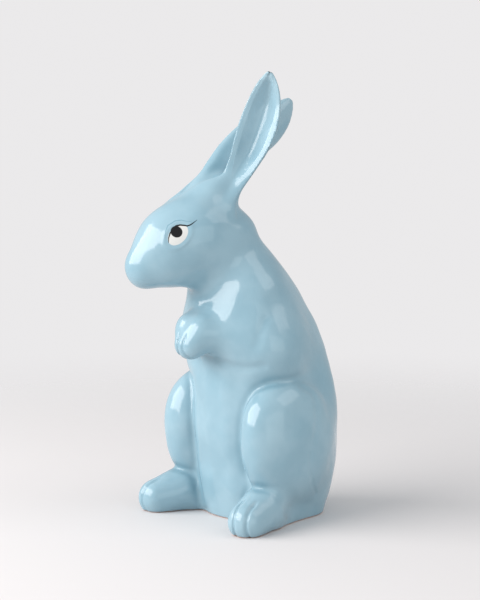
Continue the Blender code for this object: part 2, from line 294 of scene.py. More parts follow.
# %% [markdown]
# ## The forms of this hare
# These are the same forms that the CAD model is made of, so the skin below lands on the CAD model's
# surface. The number behind each form is how far it melts into the ones before it.
# %% Trunk and head
TRUNK = [
    (Egg((0, 1, 82), (56, 62, 108), 2.6), 0.0),
    (Egg((0, -4, 30), (48, 44, 70), 3.4), 16.0),
    (Egg((0, -22, 112), (45, 43, 72), 2.6), 14.0),
    (Egg((0, -6, 155), (50, 54, 66), 2.1), 22.0),
    (Egg((0, -23, 202), (41.5, 43.5, 50)), 28.0),
    (Limb((0, -34, 212), (-3, -45, 262), 34, 30), 25.0),
]
SKULL = from_neck(0, 26, 28)
MUZZLE = from_neck(0, 71, -2.5)
ALONG_FACE = unit(MUZZLE - SKULL)
FACE_AXES = np.stack([ALONG_FACE, np.cross(ALONG_FACE, HEAD_LEFT), HEAD_LEFT])
HEAD = [
    (Limb(SKULL, MUZZLE, 34, 20.5), 0.0),
    (Egg(from_neck(0, 48.5, 17), (31, 31, 25.5), axes=FACE_AXES), 15.0),
    (Egg(from_neck(0, 34.5, 17), (37, 34.5, 30), axes=FACE_AXES), 18.0),
    (Limb(from_neck(0, 19, 37), from_neck(0, 10, 61), 20, 13), 20.0),
]
print(len(TRUNK), "forms in the trunk,", len(HEAD), "in the head")

# %% [markdown]
# ## The two ears of this hare
# The left ear stands up and opens to its side, and the right one is laid further back. Each spine is
# four points that pull a curve, as the handles of a Bezier curve do in the viewport. The opening is
# the direction that the cup faces.
# %% The two ears, which lean back from the crown
LEFT_EAR = Ear(
    [from_neck(11, 4, 56), from_neck(16, -23, 100), from_neck(20, -37, 139), from_neck(26, -38, 177.5)],
    0.84 * HEAD_LEFT + 0.54 * HEAD_AHEAD, half_width=18.4, depth=12.5, root=0.52)
RIGHT_EAR = Ear(
    [from_neck(-12, 17, 50), from_neck(-19, -1, 102), from_neck(-20, -57, 120), from_neck(-24, -73, 151)],
    -0.95 * HEAD_LEFT + 0.31 * HEAD_AHEAD, half_width=19.6, depth=12.5, root=0.80)
EARS = [(LEFT_EAR, 0.0), (RIGHT_EAR, 16.0)]
print("the left ear's tip is at height", round(LEFT_EAR.spine[-1][2], 1))

# %% [markdown]
# ## The limbs of this hare
# The haunch is a tilted egg on the flank, the arm is a bent chain of three limbs that folds to the
# chest, and the foot is a wedge under the haunch. Only the left ones are laid out, because the body
# is the same on both sides. A Mirror modifier would do that for a mesh, and here the points fold.
# %% Haunches, arms, feet and tail; the right limbs mirror the left
HAUNCH_LEAN = radians(7.0)
HAUNCH_AXES = np.array([
    (0.0, sin(HAUNCH_LEAN), -cos(HAUNCH_LEAN)),
    (0.0, cos(HAUNCH_LEAN), sin(HAUNCH_LEAN)),
    (1.0, 0.0, 0.0)])
HAUNCHES = [
    (Egg((56.5, -24, 79), (57, 46.5, 27.5), 2.2, HAUNCH_AXES), 0.0),
    (Egg((0, 9, 78), (64, 46.5, 87), 2.3), 20.0),
]
SHOULDER = (24, -38, 208)
ELBOW = (40, -29, 166)
WRIST = (8, -80.5, 180.5)
FINGERS = (4.4, -90.5, 168)
ARMS = [
    (Limb(SHOULDER, ELBOW, 24, 23), 0.0),
    (Limb(ELBOW, WRIST, 22, 15), 28.0),
    (Limb(WRIST, FINGERS, 13, 12), 10.0),
]
TOES = (67, -78, 12.5)
INSTEP = (59, -54, 18)
SOLE = (51, -38, 7)
HEEL = (30, 22, -3)
FEET = [
    (Limb(TOES, INSTEP, 18, 21.5), 0.0),
    (Limb(SOLE, HEEL, 15, 12), 14.0),
]
TAIL = [(Egg((0, 52.5, 53), (21, 19.5, 31)), 0.0)]
print("elbow and wrist are", round(float(np.linalg.norm(np.subtract(ELBOW, WRIST))), 1), "apart")

# %% [markdown]
# ## Furrows between toes and fingers
# The modeller drew three toes and three fingers with the edge of a tool, which left soft furrows.
# Each one is a shallow groove in the distance, strongest over the tip and faded out behind it.
# %% Furrows
FURROW_WIDTH = 1.5
FURROW_DEPTH = 1.7
FURROW_START = 8.0
FURROW_RISE = 12.0
FURROW_FADE = 6.0
TOE_FURROWS = (-4.5, 8.0)
TOE_FURROW_REACH = 26.0
FINGER_FURROWS = (-4.0, 3.5)
FINGER_FURROW_REACH = 16.0


def furrows(points, tip, back, offsets, reach):
    """Depth of the furrows that run over a paw to its tip, within reach of the tip."""
    tip = np.array(tip, float)
    direction = unit((tip - np.array(back, float)) * (1.0, 1.0, 0.0))
    sideways = np.array([-direction[1], direction[0], 0.0])
    across = (points - tip) @ sideways
    ahead = (points - tip) @ direction
    depth = 0.0
    for offset in offsets:
        depth = depth + np.exp(-((across - offset) / FURROW_WIDTH) ** 2)
    far = np.linalg.norm(points - tip, axis=1)
    near = ease((ahead + FURROW_START) / FURROW_RISE) * ease((reach - far) / FURROW_FADE)
    return FURROW_DEPTH * depth * near


print("furrows are", FURROW_DEPTH, "deep and about", 2 * FURROW_WIDTH, "wide")

# %% [markdown]
# ## Lines drawn in the clay
# A few lines are drawn in the soft clay: under the forearm, in the bend of the arm, and behind the
# haunch, where a broad valley narrows to a fine line near the seat. Each is a chain of straight
# pieces just under the skin, with how deep and how wide it is. A sculpting brush would do the same.
# The lines lie on the left side, and the right side mirrors them.
# %% Carved lines
UNDER_FOREARM = [(14, -69, 152.5), (23, -67.5, 151), (33, -64.5, 149), (47, -58, 149), (57, -52, 151)]
BEND_OF_ARM = [(57, -48, 194), (57, -52, 186.5), (56.5, -55, 177.5), (55.5, -57, 171)]
BEHIND_HAUNCH = [
    (68.5, -14, 129), (71.5, -3, 122), (75, -2, 115), (79, -4, 106), (81, -6, 96), (82.5, -10, 84)]
HAUNCH_LINE = [(83.5, -16, 70), (82, -15, 54), (74, -4, 37), (63, 10, 24.5)]
CARVED_LINES = [
    (UNDER_FOREARM, 1.6, 4.5),
    (BEND_OF_ARM, 1.0, 4.5),
    (BEHIND_HAUNCH, 1.0, 4.5),
    (HAUNCH_LINE, 0.7, 1.7),
]


def gap_to_line(points, line):
    """Distance from each point to a chain of straight pieces."""
    nearest = np.full(len(points), np.inf)
    for start, end in zip(np.array(line, float), np.array(line[1:], float)):
        run = end - start
        offset = points - start
        share = np.clip(offset @ run / (run @ run), 0.0, 1.0)
        gap = np.linalg.norm(offset - share[:, None] * run, axis=1)
        nearest = np.minimum(nearest, gap)
    return nearest


def carved(points):
    """Depth of all the drawn lines."""
    depth = 0.0
    for line, deep, wide in CARVED_LINES:
        depth = depth + deep * np.exp(-(gap_to_line(points, line) / wide) ** 2)
    return depth


print(len(CARVED_LINES), "lines are drawn on each side")

# %% [markdown]
# ## The eyes' place
# Each eye is painted, but the modeller also raised a lid round it, with a fine crease above. The
# lid is raised here, while the crease isn't modelled and only its shade is painted. The paint and
# the lid need the same oval, so it is set here, in the head's directions. Its long side slants from
# low in front to high behind.
# %% The eye's oval
EYE_AHEAD = 49.5
EYE_UP = 29.0
EYE_HALF_LENGTH = 11.0
EYE_HALF_WIDTH = 7.0
EYE_SLANT = radians(133.0)
EYE_SIDE = 12.0
LID_AT = 1.38
LID_WIDTH = 0.24
LID_HEIGHT = 0.55


def eye_oval(points):
    """1 on the edge of the painted eye, less inside and more outside, on both sides of the head."""
    ahead = (points - NECK) @ HEAD_AHEAD - EYE_AHEAD
    up = (points - NECK) @ UP - EYE_UP
    along = ahead * cos(EYE_SLANT) + up * sin(EYE_SLANT)
    across = -ahead * sin(EYE_SLANT) + up * cos(EYE_SLANT)
    return np.hypot(along / EYE_HALF_LENGTH, across / EYE_HALF_WIDTH)


def lid_relief(points):
    """Height of the raised lid."""
    ring = np.exp(-((eye_oval(points) - LID_AT) / LID_WIDTH) ** 2)
    outer = ease((np.abs((points - NECK) @ HEAD_LEFT) - EYE_SIDE) / EYE_SIDE)
    return LID_HEIGHT * ring * outer


print("the eye is", 2 * EYE_HALF_LENGTH, "by", 2 * EYE_HALF_WIDTH, "parts")

# %% [markdown]
# ## The hand in the clay
# A hand-finished surface is never quite true, and a glossy glaze shows that: reflections wander.
# A few slow waves, well under a millimetre high, do this better than noise, which looks sandy.
# The belly has soft upright folds of fur, which are waves in one direction only.
# %% Waves of the hand and folds of the belly
HAND_WAVES = [
    ((0.145, 0.050, 0.030), 0.4, 0.22),
    ((-0.060, 0.130, 0.085), 1.9, 0.20),
    ((0.030, -0.095, 0.140), 3.1, 0.18),
    ((0.210, 0.160, -0.120), 5.0, 0.10),
    ((-0.330, 0.210, 0.290), 0.7, 0.045),
]
FOLD_SPACING = 23.0
FOLD_PHASE = 0.9
FOLD_HEIGHT = 0.25
FOLD_FRONT = (-18.0, -48.0)
FOLD_BOTTOM = (0.0, 30.0)
FOLD_TOP = (175.0, 130.0)


def hand_waves(points):
    total = 0.0
    for direction, phase, height in HAND_WAVES:
        total = total + height * np.sin(points @ np.array(direction) + phase)
    return total


def belly_folds(points):
    wave = np.cos(points[:, 0] * 2.0 * np.pi / FOLD_SPACING + FOLD_PHASE)
    front = ease((FOLD_FRONT[0] - points[:, 1]) / (FOLD_FRONT[0] - FOLD_FRONT[1]))
    low = ease((points[:, 2] - FOLD_BOTTOM[0]) / (FOLD_BOTTOM[1] - FOLD_BOTTOM[0]))
    high = ease((FOLD_TOP[0] - points[:, 2]) / (FOLD_TOP[0] - FOLD_TOP[1]))
    return FOLD_HEIGHT * wave * front * low * high


print("the hand's waves are at most", round(sum(wave[2] for wave in HAND_WAVES), 2), "parts high")

# %% [markdown]
# ## The whole skin as one distance
# The groups melt into each other in the order in which a modeller adds them. The seat is cut flat,
# with a small rounding where the glaze was wiped off the edge. A limb's melt gives the crisp
# width, the flowing one, the direction from front to back, and where the change starts and ends.
# %% The figure's distance
MELT_PAWS_TOGETHER = 6.0
MELT_HEAD = 22.0
MELT_EARS = 16.0
MELT_TAIL = 8.0
MELT_ARMS = (14.0, 30.0, (0.0, 1.0, 0.0), -78.0, -46.0)
MELT_HAUNCHES = (5.0, 22.0, (0.0, 0.8, -0.6), -74.0, -36.0)
MELT_FEET = (4.0, 14.0, (0.0, 1.0, 0.0), -62.0, -34.0)
BASE_ROUNDING = 2.0


def group_distance(forms, points):
    total = None
    for form, width in forms:
        distance = form.distance(points)
        total = distance if total is None else melt(total, distance, width)
    return total


def skin_distance(points):
    """Distance, in parts, from each point to the finished skin, less than 0 inside it."""
    folded = np.abs(points) * (1.0, 0.0, 0.0) + points * (0.0, 1.0, 1.0)
    mirrored = points * (-1.0, 1.0, 1.0)
    arms = melt(group_distance(ARMS, points), group_distance(ARMS, mirrored), MELT_PAWS_TOGETHER)

    total = group_distance(TRUNK, points) - belly_folds(points)
    total = melt(total, group_distance(HEAD, points) - lid_relief(points), MELT_HEAD)
    total = melt(total, group_distance(EARS, points), MELT_EARS)
    arms = arms + furrows(folded, FINGERS, WRIST, FINGER_FURROWS, FINGER_FURROW_REACH)
    total = melt_along(total, arms, points, MELT_ARMS)
    total = melt_along(total, group_distance(HAUNCHES, folded), points, MELT_HAUNCHES)
    total = melt(total, group_distance(TAIL, points), MELT_TAIL) + carved(folded)
    feet = group_distance(FEET, folded)
    feet = feet + furrows(folded, TOES, INSTEP, TOE_FURROWS, TOE_FURROW_REACH)
    total = melt_along(total, feet, points, MELT_FEET) - hand_waves(points)
    return scoop(total, points[:, 2], BASE_ROUNDING)


cad_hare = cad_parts["hare"]
cad_points = np.array([vert.co[:] for vert in cad_hare.data.vertices]) / PART - FIGURE_ORIGIN
print("the CAD skin is within", round(float(np.abs(skin_distance(cad_points)).max()), 2), "parts of it")

# %% [markdown]
# ## A finer skin
# The CAD model has about eight thousand triangles, which show as facets in a glossy glaze. A copy of
# its mesh is merged into one closed surface, and the Remesh modifier lays an even grid over it. A
# Subdivision Surface would round it too, but it keeps the facets' rhythm.
# %% Merge a copy and remesh it
SKIN_GRID = 2.0 * PART
MERGE_WITHIN = 0.005 * PART

skin_mesh = cad_hare.data.copy()
merged = bmesh.new()
merged.from_mesh(skin_mesh)
bmesh.ops.remove_doubles(merged, verts=merged.verts[:], dist=MERGE_WITHIN)
print(len(skin_mesh.vertices), "loose points merged into", len(merged.verts))
merged.to_mesh(skin_mesh)
merged.free()

skin = bpy.data.objects.new("hare_glazed", skin_mesh)
bpy.context.scene.collection.objects.link(skin)
remesh = skin.modifiers.new("even grid", "REMESH")
remesh.mode = "VOXEL"
remesh.voxel_size = SKIN_GRID
evaluated = skin.evaluated_get(bpy.context.evaluated_depsgraph_get())
skin.data = bpy.data.meshes.new_from_object(evaluated)
skin.modifiers.clear()
bpy.data.meshes.remove(skin_mesh)
print("the even grid has", len(skin.data.vertices), "points")

# %% [markdown]
# ## More faces where the detail is
# The rims of the ears, the lids and the furrows of the paws are finer than the grid, so the faces
# there are divided once. A finer grid everywhere would do it too, but it would spend most of its
# faces on the smooth back.
# %% Divide the faces of the ears, eyes and paws
EARS_FROM = 306.0
EYE_REACH = 2.0
TOE_REACH = 24.0
FINGER_REACH = 19.0


def has_fine_detail(points):
    """True where the ears, the eyes, the toes and the fingers are."""
    folded = np.abs(points) * (1.0, 0.0, 0.0) + points * (0.0, 1.0, 1.0)
    sideways = np.abs((points - NECK) @ HEAD_LEFT)
    eyes = (eye_oval(points) < EYE_REACH) & (sideways > EYE_SIDE)
    toes = np.linalg.norm(folded - TOES, axis=1) < TOE_REACH
    fingers = np.linalg.norm(folded - FINGERS, axis=1) < FINGER_REACH
    return (points[:, 2] > EARS_FROM) | eyes | toes | fingers


finer = bmesh.new()
finer.from_mesh(skin.data)
places = np.array([vert.co[:] for vert in finer.verts]) / PART - FIGURE_ORIGIN
fine = has_fine_detail(places)
fine_edges = [edge for edge in finer.edges if all(fine[vert.index] for vert in edge.verts)]
bmesh.ops.subdivide_edges(finer, edges=fine_edges, cuts=1, use_grid_fill=True)
bmesh.ops.triangulate(finer, faces=[face for face in finer.faces if len(face.verts) > 4])
finer.to_mesh(skin.data)
finer.free()
print("with finer ears, eyes and paws it has", len(skin.data.vertices), "points")

# %% [markdown]
# ## Settle the grid on the skin
# Every point now slides along the slope of the distance until it lies on the finished skin, the way
# a stocking is pulled over a form. The slope is felt with a small probe along each axis. Sculpting
# by hand gives the same relief, but not twice the same.
# %% How points move to the skin
SETTLE_PROBE = 0.2
SETTLE_REACH = 2.0
LEAST_SQUARE = 0.2
LEAST_LENGTH = 1e-6


def slope_at(points, here):
    """How fast the distance grows along each axis."""
    slope = np.empty_like(points)
    for axis in range(3):
        step = np.zeros(3)
        step[axis] = SETTLE_PROBE
        slope[:, axis] = (skin_distance(points + step) - here) / SETTLE_PROBE
    return slope


def settle(points, steps):
    """Move points along the slope until they lie on the skin."""
    for _ in range(steps):
        here = skin_distance(points)
        slope = slope_at(points, here)
        square = np.maximum((slope * slope).sum(1), LEAST_SQUARE)
        move = np.clip(here / square, -SETTLE_REACH, SETTLE_REACH)
        points = points - slope * move[:, None]
    return points


def neighbour_average(values, edges):
    """Each point's average over the points it shares an edge with."""
    number = np.bincount(edges.ravel(), minlength=len(values))
    total = np.empty_like(values)
    for axis in range(values.shape[1]):
        one_way = np.bincount(edges[:, 0], values[edges[:, 1], axis], len(values))
        other_way = np.bincount(edges[:, 1], values[edges[:, 0], axis], len(values))
        total[:, axis] = one_way + other_way
    return total / number[:, None]


test_place = np.array([[0.0, -60.0, 100.0]])
print("a point in front of the belly settles at", settle(test_place, 4).round(1))

# %% [markdown]
# ## Rounds of settling
# Between rounds each point moves halfway to the average of its neighbours, which spaces them evenly
# over rims and creases. The thin ears get more such rounds, because the grid is coarse for their
# rims. The Smooth modifier moves points in the same way, but it doesn't bring them back to the skin.
# %% Settle the points
SETTLE_STEPS = (4, 2, 2, 2)
RIM_ROUNDS = 16

count = len(skin.data.vertices)
places = np.empty(count * 3)
skin.data.vertices.foreach_get("co", places)
places = places.reshape(count, 3) / PART - FIGURE_ORIGIN
edges = np.empty(len(skin.data.edges) * 2, int)
skin.data.edges.foreach_get("vertices", edges)
edges = edges.reshape(-1, 2)
for round_number, steps in enumerate(SETTLE_STEPS):
    if round_number > 0:
        places = (places + neighbour_average(places, edges)) / 2.0
    places = settle(places, steps)

on_ears = places[:, 2] > EARS_FROM
for _ in range(RIM_ROUNDS):
    relaxed = (places + neighbour_average(places, edges)) / 2.0
    places[on_ears] = settle(relaxed[on_ears], 1)
places[on_ears] = settle(places[on_ears], 2)
skin.data.vertices.foreach_set("co", ((places + FIGURE_ORIGIN) * PART).ravel())
skin.data.update()
print("left over after settling:", round(float(np.abs(skin_distance(places)).max()), 3), "parts")

# %% [markdown]
# ## Normals from the same distance
# A glossy glaze shows every wobble of the shading normals, and normals averaged from small uneven
# triangles do wobble on a thin rim. The slope of the distance is the true normal of the skin, so
# each point gets that one, averaged once with its neighbours' for the tightest creases. A Weighted
# Normal modifier would be the usual, rougher way.
# %% True normals
normals = slope_at(places, skin_distance(places))
normals += neighbour_average(normals, edges)
normals /= np.maximum(np.linalg.norm(normals, axis=1, keepdims=True), LEAST_LENGTH)
skin.data.shade_smooth()
skin.data.normals_split_custom_set_from_vertices(normals)
print("normals are set on", len(normals), "points")

# %% [markdown]
# ## Where the glaze pools, with painted shade and highlight
# Molten glaze runs off ridges and gathers in hollows, so ear rims fire paler and creases deeper
# blue. These colours also stand in for light: the deeper blue is partly painted shade in the
# hollows, and the paler blue partly a painted highlight on the thin rims. A probe a few millimetres
# out from the skin finds hollows: there it is nearer to clay than its own height. A probe just
# inside finds thin rims in the same way. Melted glaze blurs such borders, so the values are
# averaged over neighbours a few times. They are stored on the mesh as an attribute that the
# material reads.
# %% Measure hollows and ridges
HOLLOW_PROBE = 9.0
HOLLOW_FULL = 4.0
RIDGE_PROBE = 2.5
RIDGE_FULL = 1.6
CALM_ROUNDS = 8

hollow = HOLLOW_PROBE - skin_distance(places + normals * HOLLOW_PROBE)
ridge = RIDGE_PROBE + skin_distance(places - normals * RIDGE_PROBE)
deeper = np.clip(hollow / HOLLOW_FULL, 0.0, 1.0)
paler = np.clip(ridge / RIDGE_FULL, 0.0, 1.0)
# Above 0.5: pooled glaze with painted shade in hollows; below 0.5: thin glaze with a painted highlight on
# rims.
pooling_and_painted_light = (0.5 + (deeper - paler) / 2.0)[:, None]
for _ in range(CALM_ROUNDS):
    pooling_and_painted_light = (pooling_and_painted_light + neighbour_average(pooling_and_painted_light, edges)) / 2.0
pooling_and_painted_light = pooling_and_painted_light[:, 0]
light_and_pooling_attribute = skin.data.attributes.new("pooling_and_painted_light", "FLOAT", "POINT")
light_and_pooling_attribute.data.foreach_set("value", pooling_and_painted_light.astype(np.float32))
print("pooling from", round(float(pooling_and_painted_light.min()), 2), "to", round(float(pooling_and_painted_light.max()), 2))

# %% [markdown]
# ## Hand the skin to the frame
# The finer skin stands for the CAD node, which stays in the physics model, and it rides on the one
# body that the hare has.
# %% Replace the node
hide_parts("hare")
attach(skin, "root")
print(skin.name, "has", sum(len(face.vertices) - 2 for face in skin.data.polygons), "triangles")

# %% [markdown]
# ## Short words for nodes
# Node trees made in code get long. A few helpers keep each line to one thought: add a node, feed a
# socket with a value or a link, do one sum, mix two colours, or ease over a step.
# %% Helpers for node trees
def add(tree, kind, **settings):
    node = tree.nodes.new(kind)
    for name, value in settings.items():
        setattr(node, name, value)
    return node


def feed(tree, socket, value):
    """Link a socket to another, or set its value."""
    if isinstance(value, bpy.types.NodeSocket):
        tree.links.new(value, socket)
    else:
        socket.default_value = value


def sum_of(tree, operation, *values, clamp=False):
    """One Math node; its output."""
    node = add(tree, "ShaderNodeMath", operation=operation, use_clamp=clamp)
    for socket, value in zip(node.inputs, values):
        feed(tree, socket, value)
    return node.outputs[0]


def vector_sum(tree, operation, *values, output="Vector"):
    """One Vector Math node; its output."""
    node = add(tree, "ShaderNodeVectorMath", operation=operation)
    for socket, value in zip(node.inputs, values):
        feed(tree, socket, value)
    return node.outputs[output]


def mix_colours(tree, share, first, second):
    """One Mix node for colours; its output."""
    node = add(tree, "ShaderNodeMix", data_type="RGBA")
    feed(tree, node.inputs[0], share)
    feed(tree, node.inputs[6], first)
    feed(tree, node.inputs[7], second)
    return node.outputs[2]


def step_over(tree, value, low, high):
    """0 below low, 1 above high, eased between them."""
    node = add(tree, "ShaderNodeMapRange", interpolation_type="SMOOTHSTEP")
    feed(tree, node.inputs["Value"], value)
    feed(tree, node.inputs["From Min"], low)
    feed(tree, node.inputs["From Max"], high)
    return node.outputs["Result"]


def new_group(name, inputs, outputs):
    """A shader node group with named sockets; its tree, input node and output node."""
    tree = bpy.data.node_groups.new(name, "ShaderNodeTree")
    for title, kind in inputs:
        tree.interface.new_socket(name=title, in_out="INPUT", socket_type=kind)
    for title, kind in outputs:
        tree.interface.new_socket(name=title, in_out="OUTPUT", socket_type=kind)
    return tree, add(tree, "NodeGroupInput"), add(tree, "NodeGroupOutput")


print("node helpers are ready")

# %% [markdown]
# ## A brush stroke as a node group
# The lid line was painted with one pull of a fine brush: thin, swelling, and thin again where it
# flicks out as a lash. A stroke is a chain of short straight pieces, each with a width at both
# ends. One group draws one piece, and the chain reuses it.
# %% The brush stroke group
INK_SOFTNESS = 0.22

stroke_tree, stroke_in, stroke_out = new_group(
    "brush stroke",
    [("Point", "NodeSocketVector"), ("Start", "NodeSocketVector"), ("End", "NodeSocketVector"),
     ("Start Width", "NodeSocketFloat"), ("End Width", "NodeSocketFloat")],
    [("Ink", "NodeSocketFloat")])
run = vector_sum(stroke_tree, "SUBTRACT", stroke_in.outputs["End"], stroke_in.outputs["Start"])
offset = vector_sum(stroke_tree, "SUBTRACT", stroke_in.outputs["Point"], stroke_in.outputs["Start"])
along = vector_sum(stroke_tree, "DOT_PRODUCT", offset, run, output="Value")
whole = vector_sum(stroke_tree, "DOT_PRODUCT", run, run, output="Value")
share = sum_of(stroke_tree, "DIVIDE", along, whole, clamp=True)
scaled_run = add(stroke_tree, "ShaderNodeVectorMath", operation="SCALE")
feed(stroke_tree, scaled_run.inputs["Vector"], run)
feed(stroke_tree, scaled_run.inputs["Scale"], share)
gap = vector_sum(stroke_tree, "DISTANCE", offset, scaled_run.outputs["Vector"], output="Value")
widening = sum_of(
    stroke_tree, "SUBTRACT", stroke_in.outputs["End Width"], stroke_in.outputs["Start Width"])
width = sum_of(stroke_tree, "MULTIPLY_ADD", widening, share, stroke_in.outputs["Start Width"])
beyond_edge = sum_of(stroke_tree, "SUBTRACT", gap, width)
outside = step_over(stroke_tree, beyond_edge, -INK_SOFTNESS, INK_SOFTNESS)
feed(stroke_tree, stroke_out.inputs["Ink"], sum_of(stroke_tree, "SUBTRACT", 1.0, outside))
print(stroke_tree.name, "has", len(stroke_tree.nodes), "nodes")


def draw_line(tree, point, line):
    """A chain of brush strokes through (ahead, up, half width) points; its ink."""
    ink = 0.0
    for start, end in zip(line, line[1:]):
        stroke = add(tree, "ShaderNodeGroup", node_tree=stroke_tree)
        feed(tree, stroke.inputs["Point"], point)
        stroke.inputs["Start"].default_value = (start[0], start[1], 0.0)
        stroke.inputs["End"].default_value = (end[0], end[1], 0.0)
        stroke.inputs["Start Width"].default_value = start[2]
        stroke.inputs["End Width"].default_value = end[2]
        ink = sum_of(tree, "MAXIMUM", ink, stroke.outputs["Ink"])
    return ink


# %% [markdown]
# ## The painted eye as a node group
# The eye is paint under the clear glaze: an off-white oval, a round black pupil that touches the
# upper lid, and the lid line. Above it, a faint blue line is painted shade where the lid's crease
# is. The paint is placed from the side, on the two directions ahead and up, so both eyes share it.
# A picture texture would be the usual way, but shapes in nodes stay sharp at any size.
# %% The painted eye group
PUPIL = (50.6, 31.8)
PUPIL_RADIUS = 5.1
LID_LINE = [
    (58.1, 22.2, 0.22), (57.8, 26.2, 0.42), (56.3, 30.2, 0.58), (53.8, 34.2, 0.70), (50.6, 36.9, 0.75),
    (47.1, 37.8, 0.72), (42.8, 37.4, 0.66), (41.0, 37.0, 0.62), (38.5, 37.9, 0.55), (35.7, 39.6, 0.42),
    (31.9, 42.3, 0.15),
]
# The lid's crease isn't modelled: this line paints its shade, in the deeper blue.
CREASE_SHADE_LINE = [
    (60.9, 26.2, 0.10), (60.2, 32.0, 0.25), (57.4, 37.3, 0.35), (50.8, 41.4, 0.40), (45.7, 42.1, 0.38),
    (40.6, 41.0, 0.22), (37.0, 41.0, 0.10),
]
PAINT_EDGE = 0.3
WHITE_INSIDE = 0.96
WHITE_OUTSIDE = 1.02
QUARTER_TURN = radians(90.0)

eye_tree, eye_in, eye_out = new_group(
    "painted eye",
    [("Vector", "NodeSocketVector")],
    [("White", "NodeSocketFloat"), ("Black", "NodeSocketFloat"), ("Crease Shade", "NodeSocketFloat")])
head_turn = add(eye_tree, "ShaderNodeMapping", vector_type="POINT")
head_turn.inputs["Rotation"].default_value = (0.0, 0.0, QUARTER_TURN + HEAD_TURN)
head_turn.inputs["Scale"].default_value = (1.0 / PART, 1.0 / PART, 1.0 / PART)
neck_place = NECK + FIGURE_ORIGIN
head_turn.inputs["Location"].default_value = (
    -float(neck_place @ HEAD_AHEAD), -float(neck_place @ HEAD_LEFT), -float(neck_place @ UP))
feed(eye_tree, head_turn.inputs["Vector"], eye_in.outputs["Vector"])
split = add(eye_tree, "ShaderNodeSeparateXYZ")
feed(eye_tree, split.inputs[0], head_turn.outputs[0])
flat = add(eye_tree, "ShaderNodeCombineXYZ")
feed(eye_tree, flat.inputs["X"], split.outputs["X"])
feed(eye_tree, flat.inputs["Y"], split.outputs["Z"])
point = flat.outputs[0]
sideways = sum_of(eye_tree, "ABSOLUTE", split.outputs["Y"])
on_cheek = sum_of(eye_tree, "GREATER_THAN", sideways, EYE_SIDE)
print("the eye's flat directions are set")

# %% [markdown]
# ## Paint inside the eye's lines
# The oval is a circle seen through a Mapping node that stretches and slants it. The pupil is a
# distance from its middle, and the lines are chains of strokes. Each gives a mask from 0 to 1.
# %% White, pupil and lines
oval = add(eye_tree, "ShaderNodeMapping", vector_type="TEXTURE")
oval.inputs["Location"].default_value = (EYE_AHEAD, EYE_UP, 0.0)
oval.inputs["Rotation"].default_value = (0.0, 0.0, EYE_SLANT)
oval.inputs["Scale"].default_value = (EYE_HALF_LENGTH, EYE_HALF_WIDTH, 1.0)
feed(eye_tree, oval.inputs["Vector"], point)
oval_size = vector_sum(eye_tree, "LENGTH", oval.outputs[0], output="Value")
outside_oval = step_over(eye_tree, oval_size, WHITE_INSIDE, WHITE_OUTSIDE)
white = sum_of(eye_tree, "SUBTRACT", 1.0, outside_oval)
pupil_gap = vector_sum(eye_tree, "DISTANCE", point, (PUPIL[0], PUPIL[1], 0.0), output="Value")
outside_pupil = step_over(
    eye_tree, pupil_gap, PUPIL_RADIUS - PAINT_EDGE, PUPIL_RADIUS + PAINT_EDGE)
pupil = sum_of(eye_tree, "SUBTRACT", 1.0, outside_pupil)
black = sum_of(eye_tree, "MAXIMUM", pupil, draw_line(eye_tree, point, LID_LINE))
# The crease line is painted shade.
crease_shade = draw_line(eye_tree, point, CREASE_SHADE_LINE)
feed(eye_tree, eye_out.inputs["White"], sum_of(eye_tree, "MULTIPLY", white, on_cheek))
feed(eye_tree, eye_out.inputs["Black"], sum_of(eye_tree, "MULTIPLY", black, on_cheek))
feed(eye_tree, eye_out.inputs["Crease Shade"], sum_of(eye_tree, "MULTIPLY", crease_shade, on_cheek))
print("the lid line has", len(LID_LINE) - 1, "strokes")

# %% [markdown]
# ## The glaze
# A tin-white glaze with a little cobalt and copper: pale blue, a shade deeper where it pools and
# paler where it thins on a ridge. The deeper blue is also painted shade in the hollows, and the
# paler blue also a painted highlight on the rims. It is cloudy rather than speckled. The cloudiness
# is noise on Object coordinates, which stay put on the piece.
# %% Glaze colours over the surface
MAIN_BLUE = (0.244, 0.392, 0.470, 1.0)
CLOUD_BLUE = (0.285, 0.432, 0.508, 1.0)
# Deeper blue: pooled glaze, and painted shade in hollows and in the lid's crease.
POOLED_AND_SHADE_BLUE = (0.095, 0.220, 0.290, 1.0)
# Paler blue: thin glaze, and a painted highlight on thin rims.
THIN_AND_HIGHLIGHT_BLUE = (0.480, 0.590, 0.630, 1.0)
CLOUD_SCALE = 22.0
CLOUD_DETAIL = 3.0
CLOUDS_FROM, CLOUDS_TO = 0.38, 0.62
POOL_AND_SHADE_FROM, POOL_AND_SHADE_TO = 0.55, 1.0
POOL_AND_SHADE_SHARE = 0.5
THIN_AND_HIGHLIGHT_FROM, THIN_AND_HIGHLIGHT_TO = 0.40, 0.0
THIN_AND_HIGHLIGHT_SHARE = 0.22

glaze = bpy.data.materials.new("pale blue glaze")
glaze.use_nodes = True
tree = glaze.node_tree
shader = tree.nodes["Principled BSDF"]
here = add(tree, "ShaderNodeTexCoord").outputs["Object"]
# The attribute carries pooled glaze, painted shade and painted highlight.
pooling_and_light_node = add(tree, "ShaderNodeAttribute", attribute_name="pooling_and_painted_light")
pooling_and_light_value = pooling_and_light_node.outputs["Fac"]

clouds = add(tree, "ShaderNodeTexNoise")
feed(tree, clouds.inputs["Vector"], here)
clouds.inputs["Scale"].default_value = CLOUD_SCALE
clouds.inputs["Detail"].default_value = CLOUD_DETAIL
cloudy = step_over(tree, clouds.outputs["Fac"], CLOUDS_FROM, CLOUDS_TO)
colour = mix_colours(tree, cloudy, MAIN_BLUE, CLOUD_BLUE)
